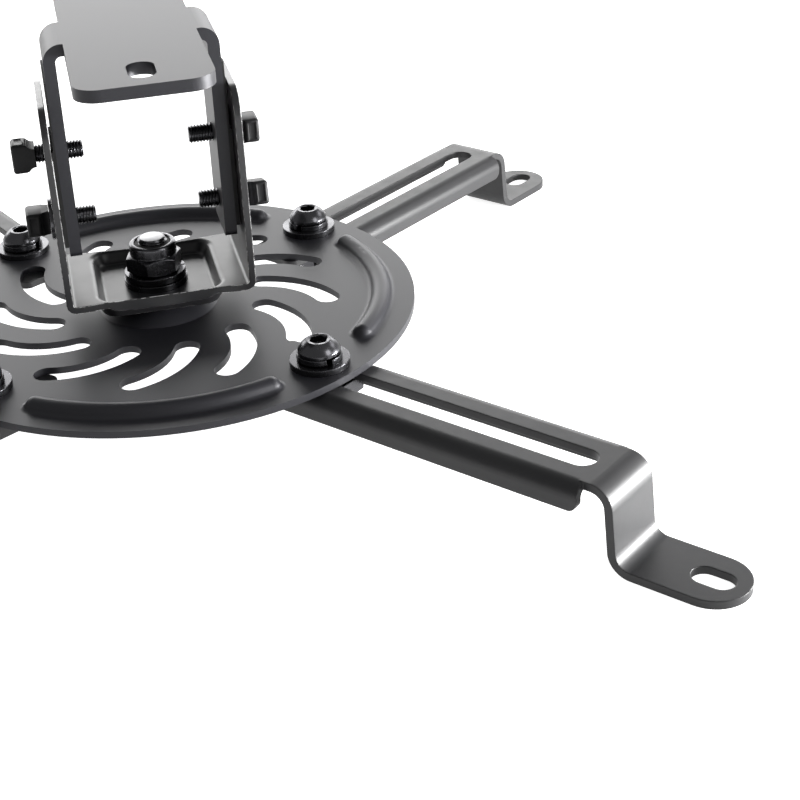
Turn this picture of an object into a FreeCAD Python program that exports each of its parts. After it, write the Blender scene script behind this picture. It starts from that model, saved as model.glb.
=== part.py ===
import FreeCAD, Part

import math
import os

import Sketcher
from FreeCAD import Placement, Rotation, Vector

# Projector ceiling mount, in millimetres and degrees, +Z up.
# The origin is the middle of the ceiling bracket's top face, which lies against the ceiling.
# X runs along the tilt axis. Heights named from the disc are measured up from its top face.

SIZES = {
    # Ceiling bracket: one folded sheet, a plate with two legs
    "disc_drop": 75.0,  # ceiling down to the top of the spider disc
    "ceiling_sheet": 3.0,
    "ceiling_width": 42.6,  # over the outer faces of the legs
    "ceiling_bend": 1.5,  # inside radius of its folds
    "ceiling_leg_depth": 19.5,
    "ceiling_leg_bottom": 20.0,  # lower ends of the legs, above the disc
    "ceiling_leg_corner": 1.6,
    "plate_length": 96.0,
    "plate_width": 32.0,
    "plate_corner": 6.0,
    "plate_slot_spacing": 74.0,
    "plate_slot_length": 12.0,
    "plate_slot_width": 6.5,
    # Friction strips between the two pairs of legs
    "strip_sheet": 1.0,
    "strip_play": 0.1,  # what is left of the gap between the legs
    "strip_thin": 0.5,
    "strip_bottom": 23.0,  # lower end above the disc
    "strip_step": 48.5,  # height above the disc where the strip gets thinner
    "strip_length": 43.0,
    # Tilt
    "pivot_height": 27.4,  # tilt axis above the disc
    "lock_rise": 17.8,  # tilt axis up to the locking screws
    "tilt_travel": 15.0,
    "tilt_slot_spare": 2.5,  # travel left at each end of the curved slots
    # Thumb screws
    "thread_radius": 2.4,
    "thread_play": 0.05,
    "screw_clearance": 0.25,
    "stud_length": 11.9,
    "stud_end_bevel": 0.5,
    "thumb_neck": 2.1,
    "thumb_neck_height": 4.8,
    "thumb_bar_thickness": 3.7,
    "thumb_bar_height": 7.6,
    "thumb_width": 6.2,
    "thumb_hollow": 2.0,  # radius where the bar runs into its neck
    "thumb_round": 0.8,
    "thumb_gap": 0.1,
    "loose_lock_backoff": 2.1,  # one locking screw is shown partly undone
    "pivot_washer_radius": 5.25,
    "pivot_washer_sheet": 0.9,
    # Swivel bracket: one folded sheet with a pressed recess
    "swivel_sheet": 1.7,
    "swivel_depth": 34.0,
    "swivel_bend": 0.8,  # inside radius of its folds
    "swivel_height": 52.5,  # from the underside of its floor
    "swivel_leg_corner": 7.0,
    "recess_depth": 3.2,
    "recess_length": 28.0,  # the flat of the recess, along X
    "recess_width": 28.0,  # the flat of the recess, along Y
    "recess_slope": 32.0,  # its walls, away from upright
    "recess_corner": 5.0,
    "recess_rim": 1.7,  # rounding where the floor turns down into the recess
    "recess_foot": 1.2,  # rounding round the flat of the recess
    "recess_wall": 1.0,
    "floor_draw": 1.0,  # how far the pressing draws in the middle of the floor's free edges
    "floor_draw_length": 40.0,
    # Friction dome pressed from a disc of sheet
    "dome_radius": 15.6,
    "dome_height": 4.7,
    "dome_sheet": 1.5,
    "dome_curve": 24.85,  # radius of its rounded face
    # Swivel bolt and what is stacked on it
    "bolt_radius": 4.0,
    "bolt_clearance": 0.15,
    "bolt_top": 18.9,  # above the disc
    "bolt_head_flats": 13.0,
    "bolt_head_height": 5.3,
    "bolt_end_bevel": 0.9,
    "bolt_washer_radius": 8.5,
    "flat_washer_radius": 8.25,
    "flat_washer_sheet": 1.6,
    "spring_washer_radius": 8.0,
    "spring_washer_sheet": 2.0,
    "washer_split": 1.0,
    "nut_flats": 13.0,
    "nut_height": 6.4,
    "nut_hexagon_height": 4.6,
    "nut_collar_radius": 6.1,
    "nut_collar_round": 0.7,
    "nut_bevel": 30.0,
    "nut_turn": 10.5,  # how the nut came to rest, about its axis
    "insert_height": 1.5,
    "insert_depth": 0.3,  # nylon ring below the top of the collar
    "insert_radius": 4.8,
    # Spider disc
    "disc_radius": 67.4,
    "disc_sheet": 1.8,
    "bolt_circle": 58.0,
    "bolt_azimuth": 36.0,  # of the first arm's screw
    "swirl_path": 22.1,  # radius of a curved slot's middle line
    "swirl_offset": 27.9,  # disc centre to the centre of that line
    "swirl_azimuth": 21.9,
    "swirl_outer_end": 76.0,
    "swirl_inner_end": 133.5,
    "swirl_width": 6.6,
    "rib_circle": 58.75,
    "rib_azimuth": 82.2,
    "rib_spread": 56.5,
    "rib_width": 7.6,
    "rib_height": 2.5,
    "rib_crown": 2.6,  # radius of its rounded top
    # Arms: a flat end under the disc, a channel, a riser and a foot
    "arm_sheet": 2.0,
    "arm_gap": 0.1,
    "arm_width": 22.7,
    "arm_depth": 6.6,  # over the web and its flanges
    "arm_fold": 1.7,  # inside radius of the flange folds
    "arm_inner_end": 19.5,  # these ends are measured from the clamping screw
    "arm_end_curve": 24.0,  # radius of the rounded inner end
    "arm_end_corner": 2.5,
    "arm_slot_width": 7.4,
    "arm_slot_inner": 13.0,
    "arm_slot_outer": 76.7,
    "flange_start": 8.0,
    "flange_end": 78.4,
    "flange_corner": 2.3,
    "riser_top": 85.1,
    "riser_lean": 1.7,
    "riser_drop": 19.0,
    "riser_bend": 3.6,  # inside radius of the upper and lower bends
    "foot_width": 17.1,  # of the foot, the riser and the flat inner end
    "foot_tip": 113.3,
    "foot_slot_centre": 105.1,
    "foot_slot_length": 10.0,
    "foot_slot_width": 6.4,
    # Screw, washers and nut plate that clamp an arm
    "arm_screw_radius": 3.0,
    "arm_screw_clearance": 0.25,
    "arm_screw_head_radius": 5.25,
    "arm_screw_head_height": 3.3,
    "arm_screw_head_edge": 0.8,  # upright part of the head below its rounding
    "arm_screw_face_radius": 3.0,  # flat round the hexagon socket
    "arm_screw_socket": 4.0,
    "arm_screw_socket_depth": 2.0,
    "arm_screw_length": 13.5,
    "arm_spring_washer_radius": 5.6,
    "arm_spring_washer_sheet": 1.7,
    "arm_flat_washer_radius": 7.4,
    "arm_flat_washer_sheet": 1.6,
    "nut_plate_play": 0.2,  # inside the flat of the channel
    "nut_plate_sheet": 3.8,
    "nut_plate_corner": 1.0,
}

SWIRL_SLOTS = 12
QUARTERS = 4
TOLERANCE = 0.001
# How each arm is turned away from its own radius of the disc, in order round the disc
ARM_TURNS = {"back_right": 2.4, "back_left": -13.0, "front_left": -3.0, "front_right": 3.6}


class Size:
    """A length or an angle, as a number and as the formula that ties it to the sheet of sizes."""

    def __init__(self, number, formula=None):
        self.number = number
        self.formula = formula or repr(float(number))

    def combine(self, other, sign, number):
        return Size(number, f"({self.formula} {sign} {as_size(other).formula})")

    def __add__(self, other):
        return self.combine(other, "+", self.number + as_size(other).number)

    def __sub__(self, other):
        return self.combine(other, "-", self.number - as_size(other).number)

    def __mul__(self, other):
        return self.combine(other, "*", self.number * as_size(other).number)

    def __truediv__(self, other):
        return self.combine(other, "/", self.number / as_size(other).number)

    def __neg__(self):
        return Size(-self.number, f"(0 - {self.formula})")


def as_size(value):
    return value if isinstance(value, Size) else Size(value)


def sine(angle):
    return Size(math.sin(math.radians(angle.number)), f"sin({angle.formula})")


def cosine(angle):
    return Size(math.cos(math.radians(angle.number)), f"cos({angle.formula})")


def tangent(angle):
    return Size(math.tan(math.radians(angle.number)), f"tan({angle.formula})")


def root(value):
    return Size(math.sqrt(value.number), f"sqrt({value.formula})")


class Sheet:
    """Gives each named size of the sheet as an attribute."""

    def __init__(self, names):
        for name, number in names.items():
            setattr(self, name, Size(number, f"sizes.{name}"))


S = Sheet(SIZES)
ZERO = Size(0)

# Sizes that several pieces share
PIVOT_DROP = S.disc_drop - S.pivot_height
LOCK_DROP = PIVOT_DROP - S.lock_rise
FLOOR_HEIGHT = S.dome_height + S.recess_depth
PIVOT_RISE = S.pivot_height - FLOOR_HEIGHT
SWIVEL_HALF = S.ceiling_width / 2 + S.strip_sheet + S.strip_play + S.swivel_sheet
THREAD_HOLE = S.thread_radius + S.thread_play
SCREW_HOLE = S.thread_radius + S.screw_clearance
BOLT_HOLE = S.bolt_radius + S.bolt_clearance
ARM_SCREW_HOLE = S.arm_screw_radius + S.arm_screw_clearance

doc = FreeCAD.newDocument("projector_ceiling_mount")
pieces = []


def fill_sheet():
    sheet = doc.addObject("Spreadsheet::Sheet", "sizes")
    for row, (name, number) in enumerate(SIZES.items(), start=1):
        sheet.set(f"A{row}", name)
        sheet.set(f"B{row}", str(number))
        sheet.setAlias(f"B{row}", name)
    doc.recompute()


def bind(feature, path, size):
    feature.setExpression(path, as_size(size).formula)


def new_body(name, x=ZERO, y=ZERO, z=ZERO, turn=ZERO, rotation=None):
    """A body with its own label, placed by formulas and turned about +Z, or by a set rotation."""
    body = doc.addObject("PartDesign::Body", name)
    body.Label = name
    if rotation is None:
        body.Placement = Placement(Vector(), Rotation(Vector(0, 0, 1), 90))
        bind(body, "Placement.Rotation.Angle", turn)
    else:
        body.Placement = Placement(Vector(), rotation)
    bind(body, "Placement.Base.x", x)
    bind(body, "Placement.Base.y", y)
    bind(body, "Placement.Base.z", z)
    pieces.append(body)
    return body


def base_plane(body, role):
    return next(item for item in body.Origin.OriginFeatures if item.Role == role)


def new_sketch(body, plane, offset=ZERO):
    """A sketch on a base plane, moved along the plane's normal by the offset."""
    sketch = body.newObject("Sketcher::SketchObject", f"{body.Name}_sketch")
    sketch.AttachmentSupport = (base_plane(body, plane), [""])
    sketch.MapMode = "FlatFace"
    bind(sketch, "AttachmentOffset.Base.z", offset)
    return sketch


def constrain(sketch, kind, *where, size):
    number = as_size(size).number
    index = sketch.addConstraint(Sketcher.Constraint(kind, *where, number))
    bind(sketch, f"Constraints[{index}]", size)


def fix_point(sketch, part, point, x=None, y=None):
    """Ties one point of a sketched line or curve to its distances from the sketch's origin."""
    if x is not None:
        constrain(sketch, "DistanceX", -1, 1, part, point, size=x)
    if y is not None:
        constrain(sketch, "DistanceY", -1, 1, part, point, size=y)


def flat(x, y):
    return Vector(as_size(x).number, as_size(y).number, 0)


def bulged_arc(start, end, radius):
    """The shorter arc from start to end. A positive radius bulges to the right of the way."""
    chord = end - start
    side = Vector(chord.y, -chord.x, 0).normalize()
    half = chord.Length / 2
    rise = abs(radius) - math.sqrt(max(radius * radius - half * half, 0))
    middle = (start + end) * 0.5 + side * math.copysign(rise, radius)
    return Part.Arc(start, middle, end)


def draw_profile(sketch, steps):
    """A closed outline. Each step is (x, y), or (x, y, radius) where an arc leads to the next point."""
    corners = [flat(step[0], step[1]) for step in steps]
    parts = []
    for number, step in enumerate(steps):
        start = corners[number]
        end = corners[(number + 1) % len(steps)]
        if len(step) > 2:
            edge = bulged_arc(start, end, as_size(step[2]).number)
        else:
            edge = Part.LineSegment(start, end)
        parts.append(sketch.addGeometry(edge))
    ends = []
    for number, step in enumerate(steps):
        # an arc that bulges left is stored the other way round
        backward = len(step) > 2 and as_size(step[2]).number < 0
        ends.append((2, 1) if backward else (1, 2))
    for number, step in enumerate(steps):
        following = (number + 1) % len(steps)
        last, first = (parts[number], ends[number][1]), (parts[following], ends[following][0])
        sketch.addConstraint(Sketcher.Constraint("Coincident", *last, *first))
        fix_point(sketch, parts[number], ends[number][0], step[0], step[1])
        if len(step) > 2:
            radius = as_size(step[2])
            constrain(sketch, "Radius", parts[number], size=radius if radius.number > 0 else -radius)


def draw_rectangle(sketch, left, bottom, right, top):
    draw_profile(sketch, [(left, bottom), (right, bottom), (right, top), (left, top)])


def draw_rounded(sketch, half_length, half_width, corner):
    """A rectangle about the sketch's origin with rounded corners."""
    short, narrow = half_length - corner, half_width - corner
    draw_profile(sketch, [
        (-short, -half_width),
        (short, -half_width, corner),
        (half_length, -narrow),
        (half_length, narrow, corner),
        (short, half_width),
        (-short, half_width, corner),
        (-half_length, narrow),
        (-half_length, -narrow, corner),
    ])


def draw_circle(sketch, radius, x=ZERO, y=ZERO):
    circle = sketch.addGeometry(Part.Circle(flat(x, y), Vector(0, 0, 1), radius.number))
    constrain(sketch, "Radius", circle, size=radius)
    fix_point(sketch, circle, 3, x, y)


def draw_hexagon(sketch, flats):
    corner = flats / (cosine(Size(30)) * 2)
    angles = [Size(60 * step) for step in range(6)]
    draw_profile(sketch, [(corner * cosine(angle), corner * sine(angle)) for angle in angles])


def add_arc(sketch, x, y, radius, first, last):
    circle = Part.Circle(flat(x, y), Vector(0, 0, 1), radius.number)
    return sketch.addGeometry(Part.ArcOfCircle(circle, math.radians(first), math.radians(last)))


def join_smoothly(sketch, *joints):
    for first, first_end, second, second_end in joints:
        sketch.addConstraint(Sketcher.Constraint("Tangent", first, first_end, second, second_end))


def draw_slot(sketch, first, last, width):
    """A round-ended slot between the centres (x, y) of its two ends."""
    radius = width / 2
    start, finish = flat(*first), flat(*last)
    heading = math.degrees(math.atan2(finish.y - start.y, finish.x - start.x))
    side = Vector(-math.sin(math.radians(heading)), math.cos(math.radians(heading)), 0) * radius.number
    far_cap = add_arc(sketch, *last, radius, heading - 90, heading + 90)
    near_cap = add_arc(sketch, *first, radius, heading + 90, heading + 270)
    left = sketch.addGeometry(Part.LineSegment(finish + side, start + side))
    right = sketch.addGeometry(Part.LineSegment(start - side, finish - side))
    join_smoothly(sketch, (far_cap, 2, left, 1), (left, 2, near_cap, 1))
    join_smoothly(sketch, (near_cap, 2, right, 1), (right, 2, far_cap, 1))
    for cap, centre in ((far_cap, last), (near_cap, first)):
        constrain(sketch, "Radius", cap, size=radius)
        fix_point(sketch, cap, 3, *centre)


def draw_curved_slot(sketch, x, y, path, width, first, last):
    """A slot along an arc about (x, y), with its two round ends at the angles first and last."""
    half = width / 2
    start, stop = first.number, last.number
    outer = add_arc(sketch, x, y, path + half, start, stop)
    inner = add_arc(sketch, x, y, path - half, start, stop)
    first_x, first_y = x + path * cosine(first), y + path * sine(first)
    last_x, last_y = x + path * cosine(last), y + path * sine(last)
    first_cap = add_arc(sketch, first_x, first_y, half, start + 180, start + 360)
    last_cap = add_arc(sketch, last_x, last_y, half, stop, stop + 180)
    join_smoothly(
        sketch,
        (outer, 2, last_cap, 1),
        (last_cap, 2, inner, 2),
        (inner, 1, first_cap, 1),
        (first_cap, 2, outer, 1),
    )
    sketch.addConstraint(Sketcher.Constraint("Coincident", outer, 3, inner, 3))
    constrain(sketch, "Radius", outer, size=path + half)
    constrain(sketch, "Radius", inner, size=path - half)
    fix_point(sketch, outer, 3, x, y)
    for cap, angle, cap_x, cap_y in ((first_cap, start, first_x, first_y), (last_cap, stop, last_x, last_y)):
        # the distance that changes fastest along the path keeps the cap in place
        if abs(math.cos(math.radians(angle))) > abs(math.sin(math.radians(angle))):
            fix_point(sketch, cap, 3, y=cap_y)
        else:
            fix_point(sketch, cap, 3, x=cap_x)


def add_feature(body, kind, sketch):
    feature = body.newObject(f"PartDesign::{kind}", f"{body.Name}_{kind.lower()}")
    feature.Profile = sketch
    sketch.Visibility = False
    return feature


def add_pad(body, sketch, length, symmetric=False, downward=False):
    feature = add_feature(body, "Pad", sketch)
    bind(feature, "Length", length)
    feature.SideType = "Symmetric" if symmetric else "One side"
    feature.Reversed = downward
    doc.recompute()
    return feature


def check_removed(body, feature, before):
    if not feature.Shape.Volume < before:
        raise RuntimeError(f"{feature.Name} of {body.Name} cuts nothing")


def add_pocket(body, sketch, depth=None, symmetric=False, upward=False):
    """Cuts a sketch to a depth, or right through when no depth is given."""
    before = body.Shape.Volume
    feature = add_feature(body, "Pocket", sketch)
    if depth is None:
        feature.Type = "ThroughAll"
    else:
        bind(feature, "Length", depth)
    feature.SideType = "Symmetric" if symmetric else "One side"
    feature.Reversed = upward
    doc.recompute()
    check_removed(body, feature, before)
    return feature


def add_turned(body, kind, sketch, angle=Size(360)):
    """A Revolution or a Groove about the sketch's upright axis."""
    feature = add_feature(body, kind, sketch)
    feature.ReferenceAxis = (sketch, ["V_Axis"])
    bind(feature, "Angle", angle)
    doc.recompute()
    return feature


def add_pattern(body, features, count):
    pattern = body.newObject("PartDesign::PolarPattern", f"{body.Name}_pattern")
    pattern.Originals = features
    pattern.Axis = (base_plane(body, "Z_Axis"), [""])
    pattern.Angle = 360
    pattern.Occurrences = count
    body.Tip = pattern
    doc.recompute()
    return pattern


def dress_edges(body, kind, radius, wanted):
    """Fillets or chamfers the edges for which wanted(middle point, direction) is true."""
    base = body.Tip
    names = []
    for number, edge in enumerate(base.Shape.Edges, start=1):
        if edge.Degenerated:
            continue
        halfway = (edge.FirstParameter + edge.LastParameter) / 2
        if wanted(edge.valueAt(halfway), edge.tangentAt(halfway)):
            names.append(f"Edge{number}")
    if not names:
        raise RuntimeError(f"no edge to dress on {body.Name}")
    feature = body.newObject(f"PartDesign::{kind}", f"{body.Name}_{kind.lower()}")
    feature.Base = (base, names)
    bind(feature, "Radius" if kind == "Fillet" else "Size", radius)
    body.Tip = feature
    doc.recompute()
    return feature


def near(first, second):
    return abs(first - as_size(second).number) < TOLERANCE


def along(direction, axis):
    return abs(abs(getattr(direction, axis)) - 1) < TOLERANCE


def folded_profile(half_width, rise, sheet):
    """A channel section, open upward, standing on the sketch's first axis."""
    inside = half_width - sheet
    return [
        (-half_width, ZERO),
        (half_width, ZERO),
        (half_width, rise),
        (inside, rise),
        (inside, sheet),
        (-inside, sheet),
        (-inside, rise),
        (-half_width, rise),
    ]


def turned_over(steps):
    return [(step[0], -step[1]) for step in steps]


def make_ceiling_bracket():
    body = new_body("ceiling_bracket")
    half = S.ceiling_width / 2
    leg_length = S.disc_drop - S.ceiling_leg_bottom
    section = new_sketch(body, "XZ_Plane")
    draw_profile(section, turned_over(folded_profile(half, leg_length, S.ceiling_sheet)))
    add_pad(body, section, S.ceiling_leg_depth, symmetric=True)
    dress_edges(
        body, "Fillet", S.ceiling_bend + S.ceiling_sheet,
        lambda at, way: along(way, "y") and near(at.z, 0),
    )
    dress_edges(
        body, "Fillet", S.ceiling_bend,
        lambda at, way: along(way, "y") and near(at.z, -S.ceiling_sheet),
    )
    dress_edges(
        body, "Fillet", S.ceiling_leg_corner,
        lambda at, way: along(way, "x") and near(at.z, -leg_length),
    )
    plate = new_sketch(body, "XY_Plane")
    half_width, half_length = S.plate_width / 2, S.plate_length / 2
    draw_rectangle(plate, -half_width, -half_length, half_width, half_length)
    add_pad(body, plate, S.ceiling_sheet, downward=True)
    dress_edges(
        body, "Fillet", S.plate_corner,
        lambda at, way: along(way, "z") and near(abs(at.y), half_length),
    )
    slots = new_sketch(body, "XY_Plane")
    for side in (-1, 1):
        middle = S.plate_slot_spacing * side / 2
        reach = (S.plate_slot_length - S.plate_slot_width) / 2
        draw_slot(slots, (ZERO, middle - reach), (ZERO, middle + reach), S.plate_slot_width)
    add_pocket(body, slots)
    threads = new_sketch(body, "YZ_Plane")
    draw_circle(threads, THREAD_HOLE, y=-PIVOT_DROP)
    draw_circle(threads, THREAD_HOLE, y=-LOCK_DROP)
    add_pocket(body, threads, S.ceiling_width * 2, symmetric=True)


def make_friction_strip(side):
    outward = 1 if side == "right" else -1
    body = new_body(
        f"friction_strip_{side}",
        x=S.ceiling_width / 2 * outward,
        z=-S.disc_drop,
        rotation=Rotation(Vector(0, 0, 1), 90 - 90 * outward),
    )
    half = S.ceiling_leg_depth / 2
    whole = new_sketch(body, "YZ_Plane")
    draw_rectangle(whole, -half, S.strip_bottom, half, S.strip_bottom + S.strip_length)
    add_pad(body, whole, S.strip_thin)
    lower = new_sketch(body, "YZ_Plane")
    draw_rectangle(lower, -half, S.strip_bottom, half, S.strip_step)
    add_pad(body, lower, S.strip_sheet)
    holes = new_sketch(body, "YZ_Plane")
    draw_circle(holes, SCREW_HOLE, y=S.pivot_height)
    draw_circle(holes, SCREW_HOLE, y=S.pivot_height + S.lock_rise)
    add_pocket(body, holes, S.strip_sheet * 2, symmetric=True)


def make_swivel_bracket():
    body = new_body("swivel_bracket", z=FLOOR_HEIGHT - S.disc_drop)
    section = new_sketch(body, "XZ_Plane")
    draw_profile(section, folded_profile(SWIVEL_HALF, S.swivel_height, S.swivel_sheet))
    add_pad(body, section, S.swivel_depth, symmetric=True)
    dress_edges(
        body, "Fillet", S.swivel_bend + S.swivel_sheet,
        lambda at, way: along(way, "y") and near(at.z, 0),
    )
    dress_edges(
        body, "Fillet", S.swivel_bend,
        lambda at, way: along(way, "y") and near(at.z, S.swivel_sheet),
    )
    dress_edges(
        body, "Fillet", S.swivel_leg_corner,
        lambda at, way: along(way, "x") and near(at.z, S.swivel_height),
    )
    press_recess(body)
    draw_in_floor(body)
    floor = new_sketch(body, "XY_Plane", -S.recess_depth * 2)
    draw_circle(floor, BOLT_HOLE)
    add_pocket(body, floor, (S.recess_depth + S.swivel_sheet) * 2, upward=True)
    holes = new_sketch(body, "YZ_Plane")
    draw_circle(holes, SCREW_HOLE, y=PIVOT_RISE)
    swing = S.tilt_travel + S.tilt_slot_spare
    first, last = Size(90) - swing, Size(90) + swing
    draw_curved_slot(holes, ZERO, PIVOT_RISE, S.lock_rise, SCREW_HOLE * 2, first, last)
    add_pocket(body, holes, SWIVEL_HALF * 4, symmetric=True)


def press_recess(body):
    """The pressing stands out below the floor, and is hollow from above."""
    run = S.recess_depth * tangent(S.recess_slope)
    half_length, half_width = S.recess_length / 2 + run, S.recess_width / 2 + run
    for wall, top, grow in ((S.recess_wall, ZERO, True), (ZERO, S.swivel_sheet, False)):
        outline = new_sketch(body, "XY_Plane", top)
        draw_rounded(outline, half_length + wall, half_width + wall, S.recess_corner + wall)
        if grow:
            pressing = add_pad(body, outline, S.recess_depth, downward=True)
        else:
            pressing = add_pocket(body, outline, S.recess_depth)
        bind(pressing, "TaperAngle", -S.recess_slope)
        doc.recompute()
    reach_x, reach_y = half_length.number + TOLERANCE, half_width.number + TOLERANCE
    for radius, height in (
        (S.recess_rim, S.swivel_sheet),
        (S.recess_foot, S.swivel_sheet - S.recess_depth),
    ):
        dress_edges(
            body, "Fillet", radius,
            lambda at, way: near(at.z, height) and abs(at.x) < reach_x and abs(at.y) < reach_y,
        )


def draw_in_floor(body):
    """Hollows the floor's front and back edges a little, where the pressing pulled the sheet in."""
    reach, edge = S.floor_draw_length / 2, S.swivel_depth / 2
    curve = (reach * reach + S.floor_draw * S.floor_draw) / (S.floor_draw * 2)
    sides = new_sketch(body, "XY_Plane", -S.recess_depth * 2)
    for side in (-1, 1):
        draw_profile(sides, [
            (-reach, edge * side, curve * side),
            (reach, edge * side),
            (reach, edge * side * 2),
            (-reach, edge * side * 2),
        ])
    add_pocket(body, sides, (S.recess_depth + S.swivel_sheet) * 2, upward=True)


def make_thumb_screw(level, side, rise, grip, roll):
    """Modelled upright: the head above the face it bears on, the stud below it."""
    outward = 1 if side == "right" else -1
    seat = (SWIVEL_HALF + S.thumb_gap + grip) * outward
    upright_to_side = Rotation(Vector(0, 1, 0), 90 * outward)
    rotation = upright_to_side * Rotation(Vector(0, 0, 1), roll)
    body = new_body(f"thumb_screw_{level}_{side}", x=seat, z=rise - S.disc_drop, rotation=rotation)
    neck, bar = S.thumb_neck_height / 2, S.thumb_bar_height / 2
    top = S.thumb_neck + S.thumb_bar_thickness
    grip_outline = new_sketch(body, "XZ_Plane")
    draw_profile(grip_outline, [
        (neck, ZERO, -S.thumb_hollow),
        (bar, S.thumb_neck),
        (bar, top),
        (-bar, top),
        (-bar, S.thumb_neck, -S.thumb_hollow),
        (-neck, ZERO),
    ])
    add_pad(body, grip_outline, S.thumb_width, symmetric=True)
    dress_edges(
        body, "Fillet", S.thumb_round,
        lambda at, way: near(at.z, top) or (along(way, "z") and near(abs(at.x), bar)),
    )
    stud = new_sketch(body, "XY_Plane")
    draw_circle(stud, S.thread_radius)
    add_pad(body, stud, S.stud_length, downward=True)
    dress_edges(body, "Chamfer", S.stud_end_bevel, lambda at, way: near(at.z, -S.stud_length))


def make_washer(name, radius, sheet, hole, x=ZERO, y=ZERO, z=ZERO, split=None, rotation=None):
    body = new_body(name, x=x, y=y, z=z, rotation=rotation)
    ring = new_sketch(body, "XY_Plane")
    draw_circle(ring, radius)
    draw_circle(ring, hole)
    add_pad(body, ring, sheet)
    if split is not None:
        gap = new_sketch(body, "XY_Plane", sheet)
        draw_rectangle(gap, hole / 2, -split / 2, radius * 2, split / 2)
        add_pocket(body, gap)


def make_dome():
    body = new_body("friction_dome", z=-S.disc_drop)
    outer, inner = S.dome_curve, S.dome_curve - S.dome_sheet
    centre = root(outer * outer - S.dome_radius * S.dome_radius)
    top = S.dome_height
    under = top - S.dome_sheet
    flat_edge = root(outer * outer - (centre + top) * (centre + top))
    flat_edge_under = root(inner * inner - (centre + under) * (centre + under))
    rim_under = root(inner * inner - centre * centre)
    section = new_sketch(body, "XZ_Plane")
    draw_profile(section, [
        (BOLT_HOLE, under),
        (flat_edge_under, under, -inner),
        (rim_under, ZERO),
        (S.dome_radius, ZERO, outer),
        (flat_edge, top),
        (BOLT_HOLE, top),
    ])
    add_turned(body, "Revolution", section)


def bevel_hexagon(body, flats, face, inward):
    """Turns the corners of a hexagon down at one face. Inward is the way into the solid: 1 or -1."""
    start, reach = flats / 2, flats
    fall = (reach - start) * tangent(S.nut_bevel)
    corner = new_sketch(body, "XZ_Plane")
    draw_profile(corner, [(start, face), (reach, face), (reach, face + fall * inward)])
    before = body.Shape.Volume
    groove = add_turned(body, "Groove", corner)
    check_removed(body, groove, before)


def make_swivel_bolt():
    body = new_body("swivel_bolt", z=-S.disc_drop)
    seat = -(S.disc_sheet + S.flat_washer_sheet)
    head = new_sketch(body, "XY_Plane", seat)
    draw_hexagon(head, S.bolt_head_flats)
    add_pad(body, head, S.bolt_head_height, downward=True)
    bevel_hexagon(body, S.bolt_head_flats, seat - S.bolt_head_height, 1)
    rod = new_sketch(body, "XY_Plane", seat)
    draw_circle(rod, S.bolt_radius)
    add_pad(body, rod, S.bolt_top - seat)
    dress_edges(body, "Chamfer", S.bolt_end_bevel, lambda at, way: near(at.z, S.bolt_top))


def make_lock_nut(base):
    body = new_body("lock_nut", z=base - S.disc_drop, turn=S.nut_turn)
    inside = S.bolt_radius + S.thread_play
    hexagon = new_sketch(body, "XY_Plane")
    draw_hexagon(hexagon, S.nut_flats)
    draw_circle(hexagon, inside)
    add_pad(body, hexagon, S.nut_hexagon_height)
    bevel_hexagon(body, S.nut_flats, ZERO, 1)
    bevel_hexagon(body, S.nut_flats, S.nut_hexagon_height, -1)
    lip = S.nut_collar_radius - S.nut_collar_round
    pocket_floor = S.nut_height - S.insert_depth - S.insert_height
    collar = new_sketch(body, "XZ_Plane")
    draw_profile(collar, [
        (inside, S.nut_hexagon_height - S.nut_collar_round),
        (S.nut_collar_radius, S.nut_hexagon_height - S.nut_collar_round),
        (S.nut_collar_radius, S.nut_height - S.nut_collar_round, S.nut_collar_round),
        (lip, S.nut_height),
        (S.insert_radius, S.nut_height),
        (S.insert_radius, pocket_floor),
        (inside, pocket_floor),
    ])
    add_turned(body, "Revolution", collar)
    height = base + pocket_floor - S.disc_drop
    make_washer("nylon_insert", S.insert_radius - S.thread_play, S.insert_height, inside, z=height)


def make_spider_disc():
    body = new_body("spider_disc", z=-S.disc_drop)
    blank = new_sketch(body, "XY_Plane")
    draw_circle(blank, S.disc_radius)
    add_pad(body, blank, S.disc_sheet, downward=True)
    holes = new_sketch(body, "XY_Plane")
    draw_circle(holes, BOLT_HOLE)
    for quarter in range(QUARTERS):
        azimuth = S.bolt_azimuth + 360 / QUARTERS * quarter
        draw_circle(holes, ARM_SCREW_HOLE, S.bolt_circle * cosine(azimuth), S.bolt_circle * sine(azimuth))
    add_pocket(body, holes)
    swirl = new_sketch(body, "XY_Plane")
    draw_curved_slot(
        swirl,
        S.swirl_offset * cosine(S.swirl_azimuth),
        S.swirl_offset * sine(S.swirl_azimuth),
        S.swirl_path, S.swirl_width, S.swirl_outer_end, S.swirl_inner_end,
    )
    add_pattern(body, [add_pocket(body, swirl)], SWIRL_SLOTS)
    press_ribs(body)


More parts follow.
